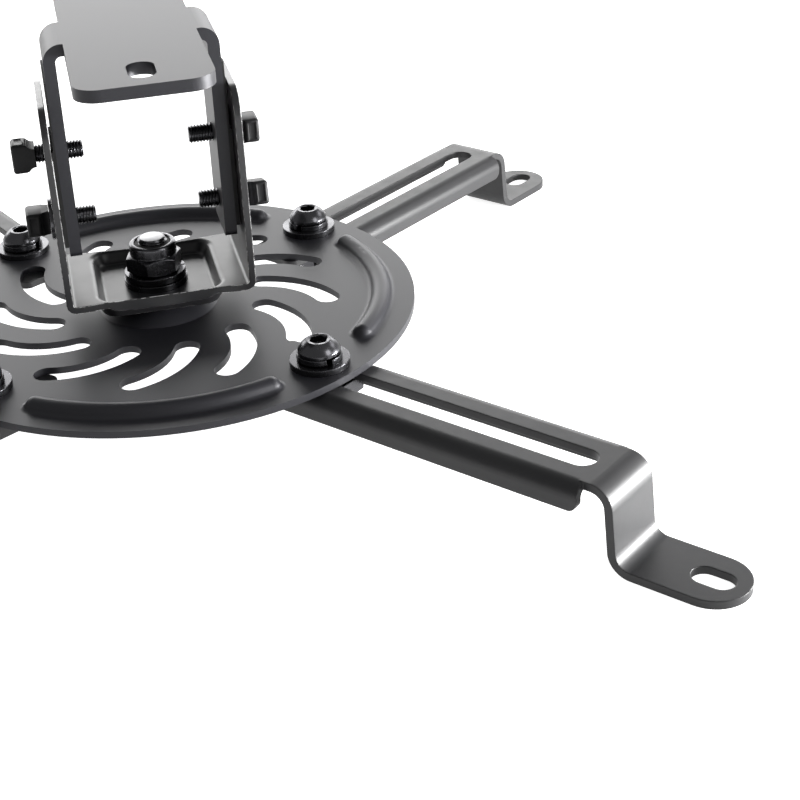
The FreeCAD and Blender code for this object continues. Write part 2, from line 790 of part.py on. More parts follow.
def press_ribs(body):
    """Four raised ribs, rounded at their ends, each hollow from below."""
    start = S.rib_azimuth - S.rib_spread / 2
    half = S.rib_width / 2
    both = (half * half + S.rib_height * S.rib_height) / (S.rib_height * 2)
    for kind, crown, base in (
        ("Revolution", S.rib_crown, ZERO),
        ("Groove", S.rib_crown - S.disc_sheet, -S.disc_sheet),
    ):
        foot = both - crown
        turn_x = half * crown / both
        turn_z = base + S.rib_height - crown * S.rib_height / both
        top = base + S.rib_height
        right_side = [(half, base, -foot), (turn_x, turn_z, crown)]
        left_side = [(ZERO, top, crown), (-turn_x, turn_z, -foot), (-half, base)]
        parts = []
        middle = new_sketch(body, "XZ_Plane")
        turn_sketch(middle, start)
        whole = right_side + left_side
        draw_profile(middle, [(step[0] + S.rib_circle, *step[1:]) for step in whole])
        parts.append(add_turned(body, kind, middle, S.rib_spread))
        for azimuth, backward in ((start, True), (start + S.rib_spread, False)):
            end = new_sketch(body, "XZ_Plane")
            turn_sketch(end, azimuth, S.rib_circle)
            draw_profile(end, right_side + [(ZERO, top), (ZERO, base)])
            cap = add_turned(body, kind, end, Size(180))
            cap.Reversed = backward
            parts.append(cap)
        doc.recompute()
        add_pattern(body, parts, QUARTERS)


def turn_sketch(sketch, azimuth, distance=ZERO):
    """Turns a sketch of the XZ plane about the disc's axis and moves its origin outward."""
    sketch.AttachmentOffset = Placement(Vector(), Rotation(Vector(0, 1, 0), 90))
    bind(sketch, "AttachmentOffset.Rotation.Angle", azimuth)
    bind(sketch, "AttachmentOffset.Base.x", distance * cosine(azimuth))
    bind(sketch, "AttachmentOffset.Base.z", -distance * sine(azimuth))


def make_arm(name, azimuth, turn):
    body = new_body(
        f"arm_{name}",
        x=S.bolt_circle * cosine(azimuth),
        y=S.bolt_circle * sine(azimuth),
        z=-(S.disc_drop + S.disc_sheet + S.arm_gap),
        turn=azimuth + turn,
    )
    half = S.arm_width / 2
    channel = new_sketch(body, "YZ_Plane", -S.flange_start)
    draw_profile(channel, turned_over(folded_profile(half, S.arm_depth, S.arm_sheet)))
    add_pad(body, channel, S.flange_start + S.flange_end)
    dress_edges(
        body, "Fillet", S.arm_fold + S.arm_sheet,
        lambda at, way: along(way, "x") and near(at.z, 0),
    )
    dress_edges(
        body, "Fillet", S.arm_fold,
        lambda at, way: along(way, "x") and near(at.z, -S.arm_sheet),
    )
    dress_edges(
        body, "Fillet", S.flange_corner,
        lambda at, way: along(way, "y") and near(at.z, -S.arm_depth),
    )
    make_riser(body)
    add_inner_end(body)
    slot = new_sketch(body, "XY_Plane")
    slot_radius = S.arm_slot_width / 2
    first, last = slot_radius - S.arm_slot_inner, S.arm_slot_outer - slot_radius
    draw_slot(slot, (first, ZERO), (last, ZERO), S.arm_slot_width)
    add_pocket(body, slot)


def add_inner_end(body):
    """Lengthens the web inward as a flat with a rounded end."""
    half = S.foot_width / 2
    overlap = S.arm_sheet / 2 - S.flange_start
    fall = S.arm_end_curve - root(S.arm_end_curve * S.arm_end_curve - half * half)
    corner = fall - S.arm_inner_end
    flat_end = new_sketch(body, "XY_Plane")
    draw_profile(flat_end, [
        (overlap, -half),
        (overlap, half),
        (corner, half, -S.arm_end_curve),
        (corner, -half),
    ])
    add_pad(body, flat_end, S.arm_sheet, downward=True)
    dress_edges(
        body, "Fillet", S.arm_end_corner,
        lambda at, way: along(way, "z") and near(at.x, corner) and near(abs(at.y), half),
    )


def make_riser(body):
    """Folds the web down and out again into the foot, from the end of the flanges."""
    sheet, drop = S.arm_sheet, S.riser_drop
    lean = S.riser_lean / drop
    start = S.flange_end - sheet / 2
    foot_radius = S.foot_width / 2
    foot_start = S.foot_tip - foot_radius
    side = new_sketch(body, "XZ_Plane")
    draw_profile(side, [
        (start, -sheet),
        (S.riser_top - sheet + lean * sheet, -sheet),
        (S.riser_top - sheet + lean * (drop + sheet), -(drop + sheet)),
        (foot_start, -(drop + sheet)),
        (foot_start, -drop),
        (S.riser_top + lean * drop, -drop),
        (S.riser_top, ZERO),
        (start, ZERO),
    ])
    add_pad(body, side, S.foot_width, symmetric=True)
    for radius, x, z in (
        (S.riser_bend + sheet, S.riser_top, ZERO),
        (S.riser_bend, S.riser_top - sheet + lean * sheet, -sheet),
        (S.riser_bend, S.riser_top + lean * drop, -drop),
        (S.riser_bend + sheet, S.riser_top - sheet + lean * (drop + sheet), -(drop + sheet)),
    ):
        dress_edges(
            body, "Fillet", radius,
            lambda at, way: along(way, "y") and near(at.x, x) and near(at.z, z),
        )
    foot = new_sketch(body, "XY_Plane", -drop)
    draw_circle(foot, foot_radius, foot_start)
    add_pad(body, foot, sheet, downward=True)
    hole = new_sketch(body, "XY_Plane", -drop)
    reach = (S.foot_slot_length - S.foot_slot_width) / 2
    centre = S.foot_slot_centre
    draw_slot(hole, (centre - reach, ZERO), (centre + reach, ZERO), S.foot_slot_width)
    add_pocket(body, hole)


def make_arm_clamp(name, azimuth, turn):
    """The screw, washers and nut plate that hold one arm, on the arm's own axis."""
    x, y = S.bolt_circle * cosine(azimuth), S.bolt_circle * sine(azimuth)
    disc = -S.disc_drop
    make_washer(
        f"arm_flat_washer_{name}", S.arm_flat_washer_radius, S.arm_flat_washer_sheet, ARM_SCREW_HOLE,
        x, y, disc,
    )
    make_washer(
        f"arm_spring_washer_{name}", S.arm_spring_washer_radius, S.arm_spring_washer_sheet, ARM_SCREW_HOLE,
        x, y, disc + S.arm_flat_washer_sheet, split=S.washer_split,
    )
    seat = disc + S.arm_flat_washer_sheet + S.arm_spring_washer_sheet
    body = new_body(f"arm_screw_{name}", x=x, y=y, z=seat)
    section = new_sketch(body, "XZ_Plane")
    draw_profile(section, [
        (ZERO, -S.arm_screw_length),
        (S.arm_screw_radius, -S.arm_screw_length),
        (S.arm_screw_radius, ZERO),
        (S.arm_screw_head_radius, ZERO),
        (S.arm_screw_head_radius, S.arm_screw_head_edge, S.arm_screw_head_radius),
        (S.arm_screw_face_radius, S.arm_screw_head_height),
        (ZERO, S.arm_screw_head_height),
    ])
    add_turned(body, "Revolution", section)
    socket = new_sketch(body, "XY_Plane", S.arm_screw_head_height)
    draw_hexagon(socket, S.arm_screw_socket)
    add_pocket(body, socket, S.arm_screw_socket_depth)
    plate_top = -(S.disc_drop + S.disc_sheet + S.arm_sheet + S.arm_gap * 2)
    plate = new_body(f"arm_nut_plate_{name}", x=x, y=y, z=plate_top, turn=azimuth + turn)
    half = S.arm_width / 2 - S.arm_sheet - S.arm_fold - S.nut_plate_play / 2
    square = new_sketch(plate, "XY_Plane")
    draw_rectangle(square, -half, -half, half, half)
    add_pad(plate, square, S.nut_plate_sheet, downward=True)
    dress_edges(plate, "Fillet", S.nut_plate_corner, lambda at, way: along(way, "z"))
    thread = new_sketch(plate, "XY_Plane")
    draw_circle(thread, S.arm_screw_radius + S.thread_play)
    add_pocket(plate, thread)


def build():
    fill_sheet()
    make_ceiling_bracket()
    make_swivel_bracket()
    lower_grip = S.pivot_washer_sheet + S.thumb_gap
    for side, outward, loose, lower_roll, upper_roll in (
        ("left", -1, S.loose_lock_backoff, 90, 0),
        ("right", 1, ZERO, 75, 90),
    ):
        make_friction_strip(side)
        make_thumb_screw("lower", side, S.pivot_height, lower_grip, lower_roll)
        make_thumb_screw("upper", side, S.pivot_height + S.lock_rise, loose, upper_roll)
        make_washer(
            f"pivot_washer_{side}", S.pivot_washer_radius, S.pivot_washer_sheet, SCREW_HOLE,
            x=(SWIVEL_HALF + S.thumb_gap) * outward, z=-PIVOT_DROP,
            rotation=Rotation(Vector(0, 1, 0), 90 * outward),
        )
    make_dome()
    make_swivel_bolt()
    make_washer(
        "bolt_washer", S.bolt_washer_radius, S.flat_washer_sheet, BOLT_HOLE,
        z=-(S.disc_drop + S.disc_sheet + S.flat_washer_sheet),
    )
    stack = S.dome_height + S.swivel_sheet
    make_washer(
        "flat_washer", S.flat_washer_radius, S.flat_washer_sheet, BOLT_HOLE,
        z=stack - S.disc_drop,
    )
    stack = stack + S.flat_washer_sheet
    make_washer(
        "spring_washer", S.spring_washer_radius, S.spring_washer_sheet, BOLT_HOLE,
        z=stack - S.disc_drop, split=S.washer_split,
    )
    make_lock_nut(stack + S.spring_washer_sheet)
    make_spider_disc()
    for number, (name, turn) in enumerate(ARM_TURNS.items()):
        azimuth = S.bolt_azimuth + 360 / QUARTERS * number
        make_arm(name, azimuth, turn)
        make_arm_clamp(name, azimuth, turn)
    doc.recompute()


def check_pieces():
    """Stops before anything is written if an object failed or a piece isn't one sound solid."""
    for item in doc.Objects:
        if "Invalid" in item.State or "Error" in item.State:
            raise RuntimeError(f"{item.Name} did not compute")
    for piece in pieces:
        if piece.Shape.isNull() or not piece.Shape.isValid() or len(piece.Shape.Solids) != 1:
            raise RuntimeError(f"{piece.Label} is not one sound solid")


def write_pieces():
    os.makedirs("parts", exist_ok=True)
    for piece in pieces:
        piece.Shape.exportStep(f"parts/{piece.Label}.step")
        box = piece.Shape.BoundBox
        print(f"{piece.Label}: {piece.Shape.Volume:.1f} mm3, z {box.ZMin:.2f} to {box.ZMax:.2f}")


build()
check_pieces()
write_pieces()
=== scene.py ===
import math

import bmesh
import bpy
from bpy.props import FloatProperty, FloatVectorProperty, PointerProperty
from mathutils import Matrix, Vector


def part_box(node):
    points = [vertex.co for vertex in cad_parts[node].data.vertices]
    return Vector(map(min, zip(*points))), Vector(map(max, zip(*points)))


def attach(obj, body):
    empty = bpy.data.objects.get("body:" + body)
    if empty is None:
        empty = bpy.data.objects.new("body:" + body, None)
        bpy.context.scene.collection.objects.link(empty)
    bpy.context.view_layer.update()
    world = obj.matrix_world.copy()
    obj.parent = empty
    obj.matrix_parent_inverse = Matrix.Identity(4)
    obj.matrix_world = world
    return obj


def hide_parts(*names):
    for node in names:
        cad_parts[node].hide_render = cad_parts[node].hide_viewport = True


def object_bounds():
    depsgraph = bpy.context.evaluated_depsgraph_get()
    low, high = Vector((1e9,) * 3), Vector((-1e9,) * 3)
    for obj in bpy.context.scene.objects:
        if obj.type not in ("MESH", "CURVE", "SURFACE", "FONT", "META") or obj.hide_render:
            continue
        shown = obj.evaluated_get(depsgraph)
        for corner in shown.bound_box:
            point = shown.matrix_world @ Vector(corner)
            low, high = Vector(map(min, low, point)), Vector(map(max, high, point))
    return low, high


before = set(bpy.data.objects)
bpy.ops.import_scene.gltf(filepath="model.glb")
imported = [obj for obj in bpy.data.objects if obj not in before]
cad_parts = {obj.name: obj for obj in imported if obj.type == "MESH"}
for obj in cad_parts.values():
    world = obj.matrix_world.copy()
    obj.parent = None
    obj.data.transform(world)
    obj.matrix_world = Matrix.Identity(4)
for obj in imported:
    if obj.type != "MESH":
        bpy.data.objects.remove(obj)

CAD_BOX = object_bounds()

bl_info = {
    "name": "Projector Ceiling Mount",
    "version": (1, 0, 0),
    "blender": (4, 5, 0),
    "location": "3D View > Sidebar > Mount",
    "description": "Finishes, threaded hardware and studio for a projector ceiling mount",
    "category": "Object",
}

MM = 0.001
SIDES = {"left": -1, "right": 1}
LEVELS = ("lower", "upper")
ARMS = ("back_right", "back_left", "front_left", "front_right")

# How far each thumb screw is turned about its own axis, in degrees
GRIP_TURNS = {"lower_left": 90, "upper_left": 0, "lower_right": 75, "upper_right": 90}
# Where the gap of each spring washer came to rest, in degrees
WASHER_GAPS = {"back_right": 230, "back_left": 320, "front_left": 290, "front_right": 285}
# How far each hexagon socket is turned, in degrees
SOCKET_TURNS = {"back_right": 12, "back_left": 40, "front_left": 25, "front_right": 8}
# How the lock nut came to rest, in degrees
NUT_TURN = 10.5

# The solids that keep their CAD shape, by finish
SOLIDS_BY_FINISH = {
    "powder_coat": ["ceiling_bracket", "friction_dome", "spider_disc"],
    "satin_coat": [f"arm_{name}" for name in ARMS],
    "worn_coat": ["swivel_bracket"],
    "black_plating": ["bolt_washer", "flat_washer", "pivot_washer_left", "pivot_washer_right"]
    + [f"{piece}_{name}" for piece in ("arm_flat_washer", "arm_nut_plate") for name in ARMS],
    "friction_sheet": [f"friction_strip_{side}" for side in SIDES],
}

# Bumps of the finishes: scale of the noise, strength and height
COAT_BUMPS = ((900, 0.10, 0.05 * MM), (5200, 0.10, 0.01 * MM))
SMOOTH_COAT_BUMPS = ((900, 0.05, 0.05 * MM), (5200, 0.05, 0.01 * MM))
# How round the coat makes an edge look
COAT_EDGE = 0.45 * MM

SWIVEL_BOLT_RADIUS = 4.0 * MM
ARM_SCREW_RADIUS = 3.0 * MM
STUD_RADIUS = 2.4 * MM
WRENCH_FLATS = 13 * MM  # across the bolt's head and the nut
THREAD_SHARE = 0.5  # depth of a machine thread as a share of its pitch


class MountFinishes(bpy.types.PropertyGroup):
    """Colours and gloss of the materials."""

    coat_colour: FloatVectorProperty(
        name="Powder coat", description="Colour of the coated sheet metal",
        subtype="COLOR", size=4, min=0, max=1, default=(0.011, 0.011, 0.012, 1),
    )
    coat_roughness: FloatProperty(
        name="Coat roughness", description="Gloss of the powder coat, lower is shinier",
        subtype="FACTOR", min=0, max=1, default=0.33,
    )
    plated_colour: FloatVectorProperty(
        name="Black plating", description="Colour of the washers, nuts and screws",
        subtype="COLOR", size=4, min=0, max=1, default=(0.075, 0.075, 0.08, 1),
    )
    bright_colour: FloatVectorProperty(
        name="Bare steel", description="Colour of the head and the bare end of the swivel bolt",
        subtype="COLOR", size=4, min=0, max=1, default=(0.26, 0.26, 0.265, 1),
    )
    plastic_colour: FloatVectorProperty(
        name="Moulded plastic", description="Colour of the thumb grips",
        subtype="COLOR", size=4, min=0, max=1, default=(0.01, 0.01, 0.0105, 1),
    )


class MountHardware(bpy.types.PropertyGroup):
    """Sizes of the fine parts that the CAD solids leave plain."""

    stud_pitch: FloatProperty(
        name="Stud pitch", description="Thread pitch of the thumb screws",
        unit="LENGTH", min=0.0003, max=0.003, default=0.8 * MM,
    )
    stud_depth: FloatProperty(
        name="Stud thread depth", description="Depth of the thumb screws' thread",
        unit="LENGTH", min=0.0001, max=0.001, default=0.42 * MM,
    )
    bolt_pitch: FloatProperty(
        name="Bolt pitch", description="Thread pitch of the swivel bolt",
        unit="LENGTH", min=0.0003, max=0.003, default=1.25 * MM,
    )
    screw_pitch: FloatProperty(
        name="Arm screw pitch", description="Thread pitch of the arm screws",
        unit="LENGTH", min=0.0003, max=0.003, default=1.0 * MM,
    )
    grip_width: FloatProperty(
        name="Grip width", description="Width of the thumb grips",
        unit="LENGTH", min=0.002, max=0.02, default=6.2 * MM,
    )
    grip_round: FloatProperty(
        name="Grip rounding", description="Radius of the edges of the thumb grips",
        unit="LENGTH", min=0.0001, max=0.002, default=0.8 * MM,
    )
    washer_rise: FloatProperty(
        name="Spring washer rise",
        description="How far one end of a spring washer stands above the other",
        unit="LENGTH", min=0, max=0.001, default=0.3 * MM,
    )


class MountStudio(bpy.types.PropertyGroup):
    """Camera and light."""

    focal_length: FloatProperty(
        name="Focal length", description="Camera lens on a 36 mm sensor",
        unit="CAMERA", min=10, max=300, default=73.57,
    )
    back_power: FloatProperty(
        name="Back panel", description="Power of the large panel behind the mount",
        unit="POWER", min=0, max=500, default=21.0,
    )
    right_power: FloatProperty(
        name="Right panel", description="Power of the low panel on the right",
        unit="POWER", min=0, max=500, default=6.0,
    )
    upper_right_power: FloatProperty(
        name="Upper right panel", description="Power of the panel high up on the right",
        unit="POWER", min=0, max=500, default=1.6,
    )
    front_power: FloatProperty(
        name="Front panel", description="Power of the small panel in front on the right",
        unit="POWER", min=0, max=500, default=1.6,
    )
    surround_strength: FloatProperty(
        name="Surround", description="Brightness of the room around the mount",
        min=0, max=2, default=0.35,
    )
    floor_colour: FloatVectorProperty(
        name="Floor", description="Colour of the plain floor",
        subtype="COLOR", size=4, min=0, max=1, default=(0.93, 0.93, 0.93, 1),
    )


def new_material(name):
    """A new material with an empty node tree."""
    material = bpy.data.materials.new(name)
    material.use_nodes = True
    material.node_tree.nodes.clear()
    return material, material.node_tree


def add_node(tree, kind, **values):
    """Adds a node and sets its properties, or its inputs where a name is an input's."""
    node = tree.nodes.new(kind)
    for key, value in values.items():
        title = key.replace("_", " ")
        if title in node.inputs:
            node.inputs[title].default_value = value
        else:
            setattr(node, key, value)
    return node


def finish_material(tree, surface):
    """Links the surface to the material's output."""
    output = add_node(tree, "ShaderNodeOutputMaterial")
    tree.links.new(surface.outputs["BSDF"], output.inputs["Surface"])


def grain(tree, coordinates, scale, detail=2.0):
    """Noise that is fixed to the object."""
    noise = add_node(tree, "ShaderNodeTexNoise", Scale=scale, Detail=detail)
    tree.links.new(coordinates, noise.inputs["Vector"])
    return noise.outputs["Fac"]


def colour_between(tree, factor, first, second):
    """Fades from one colour to the other over the middle of the noise's range."""
    ramp = add_node(tree, "ShaderNodeValToRGB")
    start, end = ramp.color_ramp.elements
    start.position, start.color = 0.35, first
    end.position, end.color = 0.65, second
    tree.links.new(factor, ramp.inputs["Fac"])
    return ramp.outputs["Color"]


def value_between(tree, factor, low, high):
    """Spreads two values over the range that the noise seldom leaves."""
    spread = add_node(
        tree, "ShaderNodeMapRange", From_Min=0.3, From_Max=0.7, To_Min=low, To_Max=high,
    )
    tree.links.new(factor, spread.inputs["Value"])
    return spread.outputs["Result"]


def bumped(tree, height, strength, distance, below=None):
    """Adds bumps on top of the normal below."""
    bump = add_node(tree, "ShaderNodeBump", Strength=strength, Distance=distance)
    tree.links.new(height, bump.inputs["Height"])
    if below is not None:
        tree.links.new(below, bump.inputs["Normal"])
    return bump.outputs["Normal"]


def lighter(colour):
    """The colour of the lighter clouds in a finish."""
    gain = 1.25
    return tuple(min(1.0, channel * gain) for channel in colour[:3]) + (1,)


def worn_edge(tree, coordinates, reach):
    """1 where an edge is rubbed bare, broken up by noise, and 0 on the flats."""
    flat, crested = 0.97, 0.85  # cosines of how far the rounded edge turns from the face
    coated, rubbed = 0.44, 0.54  # values of the noise between which the coat gives way
    speck_scale, speck_detail = 700, 6.0
    rounded = add_node(tree, "ShaderNodeBevel", samples=8, Radius=reach)
    face = add_node(tree, "ShaderNodeNewGeometry")
    match = add_node(tree, "ShaderNodeVectorMath", operation="DOT_PRODUCT")
    tree.links.new(rounded.outputs["Normal"], match.inputs[0])
    tree.links.new(face.outputs["True Normal"], match.inputs[1])
    crest = add_node(tree, "ShaderNodeMapRange", From_Min=flat, From_Max=crested)
    tree.links.new(match.outputs["Value"], crest.inputs["Value"])
    specks = add_node(tree, "ShaderNodeMapRange", From_Min=coated, From_Max=rubbed)
    noise = grain(tree, coordinates, speck_scale, speck_detail)
    tree.links.new(noise, specks.inputs["Value"])
    both = add_node(tree, "ShaderNodeMath", operation="MULTIPLY")
    tree.links.new(crest.outputs["Result"], both.inputs[0])
    tree.links.new(specks.outputs["Result"], both.inputs[1])
    return both.outputs["Value"]


def worn_paint(tree, coordinates, painted, bare):
    """The coat, with bare metal showing at its rubbed edges."""
    reach = 0.3 * MM
    mix = add_node(tree, "ShaderNodeMix", data_type="RGBA")
    tree.links.new(worn_edge(tree, coordinates, reach), mix.inputs["Factor"])
    tree.links.new(painted, mix.inputs["A"])
    mix.inputs["B"].default_value = bare
    return mix.outputs["Result"]


def make_surface(
    name, colour, roughness, spread, bumps, metallic=0, specular=0.5, ior=1.5, edge=0.0, bare=None,
):
    """A finish with cloudy changes of colour, patches of gloss, bumps and rounded edges."""
    cloud_scale, patch_scale, patch_detail = 60, 240, 4.0
    material, tree = new_material(name)
    coordinates = add_node(tree, "ShaderNodeTexCoord").outputs["Object"]
    surface = add_node(
        tree, "ShaderNodeBsdfPrincipled", Metallic=metallic, Specular_IOR_Level=specular, IOR=ior,
    )
    clouds = grain(tree, coordinates, cloud_scale)
    painted = colour_between(tree, clouds, colour, lighter(colour))
    if bare is not None:
        painted = worn_paint(tree, coordinates, painted, bare)
    tree.links.new(painted, surface.inputs["Base Color"])
    patches = grain(tree, coordinates, patch_scale, patch_detail)
    gloss = value_between(tree, patches, roughness - spread, roughness + spread)
    tree.links.new(gloss, surface.inputs["Roughness"])
    normal = None
    if edge:
        normal = add_node(tree, "ShaderNodeBevel", samples=6, Radius=edge).outputs["Normal"]
    for scale, strength, height in bumps:
        normal = bumped(tree, grain(tree, coordinates, scale), strength, height, normal)
    tree.links.new(normal, surface.inputs["Normal"])
    finish_material(tree, surface)


def powder_coat(finishes):
    """Semi-gloss black of the disc, the dome and the ceiling bracket."""
    make_surface(
        "powder_coat", finishes.coat_colour, finishes.coat_roughness, 0.03, COAT_BUMPS,
        specular=0.9, ior=1.7, edge=COAT_EDGE,
    )


def satin_coat(finishes):
    """Duller black of the arms."""
    duller = 0.12
    make_surface(
        "satin_coat", finishes.coat_colour, finishes.coat_roughness + duller, 0.03, COAT_BUMPS,
        specular=0.33, ior=1.6, edge=COAT_EDGE,
    )


def worn_coat(finishes):
    """Smooth black of the swivel bracket, rubbed bare along its edges."""
    make_surface(
        "worn_coat", finishes.coat_colour, finishes.coat_roughness, 0.02, SMOOTH_COAT_BUMPS,
        specular=0.32, ior=1.65, edge=COAT_EDGE, bare=(0.5, 0.5, 0.5, 1),
    )


def black_plating(finishes):
    """Dark zinc of the screws, nuts and washers."""
    make_surface(
        "black_plating", finishes.plated_colour, 0.26, 0.05, ((2500, 0.06, 0.01 * MM),),
        metallic=1, edge=0.3 * MM,
    )


def bare_steel(finishes):
    """The cut end and the head of the swivel bolt."""
    make_surface(
        "bare_steel", finishes.bright_colour, 0.38, 0.06, ((3500, 0.08, 0.01 * MM),), metallic=1,
    )


def moulded_plastic(finishes):
    """The grips of the thumb screws."""
    make_surface(
        "moulded_plastic", finishes.plastic_colour, 0.48, 0.05, ((3000, 0.12, 0.02 * MM),),
        specular=0.22, edge=0.2 * MM,
    )


def friction_sheet(finishes):
    """The flat strips between the brackets."""
    make_surface(
        "friction_sheet", (0.008, 0.008, 0.008, 1), 0.7, 0.05, ((2200, 0.2, 0.03 * MM),),
        specular=0.3,
    )


def nylon(finishes):
    """The ring in the lock nut."""
    make_surface("nylon", (0.03, 0.03, 0.032, 1), 0.4, 0.04, ((1500, 0.1, 0.02 * MM),))


FINISHES = {
    "powder_coat": powder_coat,
    "satin_coat": satin_coat,
    "worn_coat": worn_coat,
    "black_plating": black_plating,
    "bare_steel": bare_steel,
    "moulded_plastic": moulded_plastic,
    "friction_sheet": friction_sheet,
    "nylon": nylon,
}


def material_named(name):
    """Makes each finish once and hands out the same one afterwards."""
    if name not in bpy.data.materials:
        FINISHES[name](bpy.context.scene.mount_finishes)
    return bpy.data.materials[name]


def new_piece(name, mesh, finish, body, crease=35):
    """Links a mesh as a piece that rides on a body. Edges sharper than the crease stay sharp."""
    mesh.materials.clear()
    mesh.materials.append(material_named(finish))
    mesh.shade_smooth()
    mesh.set_sharp_from_angle(angle=math.radians(crease))
    piece = bpy.data.objects.new(name, mesh)
    bpy.context.scene.collection.objects.link(piece)
    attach(piece, body)
    return piece


def mesh_of(name, vertices, faces):
    mesh = bpy.data.meshes.new(name)
    mesh.from_pydata(vertices, [], faces)
    mesh.validate()
    return mesh


def centre_of(node):
    low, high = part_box(node)
    return (low + high) / 2


def turned(degrees, axis="Z"):
    return Matrix.Rotation(math.radians(degrees), 4, axis)


def lathe(name, rings, steps):
    """A closed solid of rings, each (radius by angle, height), its first and last ring capped."""
    vertices = []
    for radius_at, height in rings:
        for step in range(steps):
            angle = 2 * math.pi * step / steps
            radius = radius_at(angle)
            vertices.append((radius * math.cos(angle), radius * math.sin(angle), height))
    faces = [tuple(reversed(range(steps)))]
    for level in range(len(rings) - 1):
        base = level * steps
        above = base + steps
        for step in range(steps):
            following = (step + 1) % steps
            faces.append((base + step, base + following, above + following, above + step))
    last = (len(rings) - 1) * steps
    faces.append(tuple(last + step for step in range(steps)))
    return mesh_of(name, vertices, faces)


def round_ring(radius):
    return lambda angle: radius


def hexagon_ring(flats, limit=math.inf):
    """A hexagon with a corner at angle 0, cut off where a cone of the limiting radius passes it."""
    def radius_at(angle):
        from_flat = angle % (math.pi / 3) - math.pi / 6
        return min(flats / 2 / math.cos(from_flat), limit)
    return radius_at


def bevelled_hexagon(flats, face, inward):
    """Rings from a face into a hexagonal bar, its corners turned down at 30 degrees.

    Inward is 1 where the bar lies above the face and -1 where it lies below.
    """
    steps = 8
    start, reach = flats * 0.485, flats / math.sqrt(3)
    rings = []
    for step in range(steps + 1):
        radius = start + (reach - start) * step / steps
        height = face + inward * (radius - start) * math.tan(math.pi / 6)
        rings.append((hexagon_ring(flats, radius), height))
    return rings


def arc_between(start, end, radius, steps=8):
    """Points inside an arc from start to end, which bulges to its right, or left if negative."""
    start, end = Vector(start), Vector(end)
    chord = end - start
    sign = math.copysign(1, radius)
    outward = Vector((chord.y, -chord.x)).normalized() * sign
    middle = (start + end) / 2 - outward * math.sqrt(radius ** 2 - (chord.length / 2) ** 2)
    turn = 2 * math.asin(chord.length / 2 / abs(radius)) * sign
    spoke = start - middle
    points = []
    for step in range(1, steps):
        angle = turn * step / steps
        x = spoke.x * math.cos(angle) - spoke.y * math.sin(angle)
        y = spoke.x * math.sin(angle) + spoke.y * math.cos(angle)
        points.append((middle.x + x, middle.y + y))
    return points


def split_ring(name, inner, outer, sheet, rise, gap):
    """A flat ring from z = 0, cut through at angle 0, one end standing higher than the other."""
    steps = 72
    half_gap = math.asin(gap / (inner + outer))
    section = ((inner, 0), (outer, 0), (outer, sheet - rise), (inner, sheet - rise))
    corners = len(section)
    vertices, faces = [], [tuple(range(corners))]
    for step in range(steps + 1):
        share = step / steps
        angle = half_gap + (2 * math.pi - 2 * half_gap) * share
        for radius, height in section:
            vertices.append((radius * math.cos(angle), radius * math.sin(angle), height + rise * share))
    for step in range(steps):
        base = step * corners
        ahead = base + corners
        for corner in range(corners):
            following = (corner + 1) % corners
            faces.append((base + corner, ahead + corner, ahead + following, base + following))
    last = steps * corners
    faces.append(tuple(last + corner for corner in reversed(range(corners))))
    return mesh_of(name, vertices, faces)


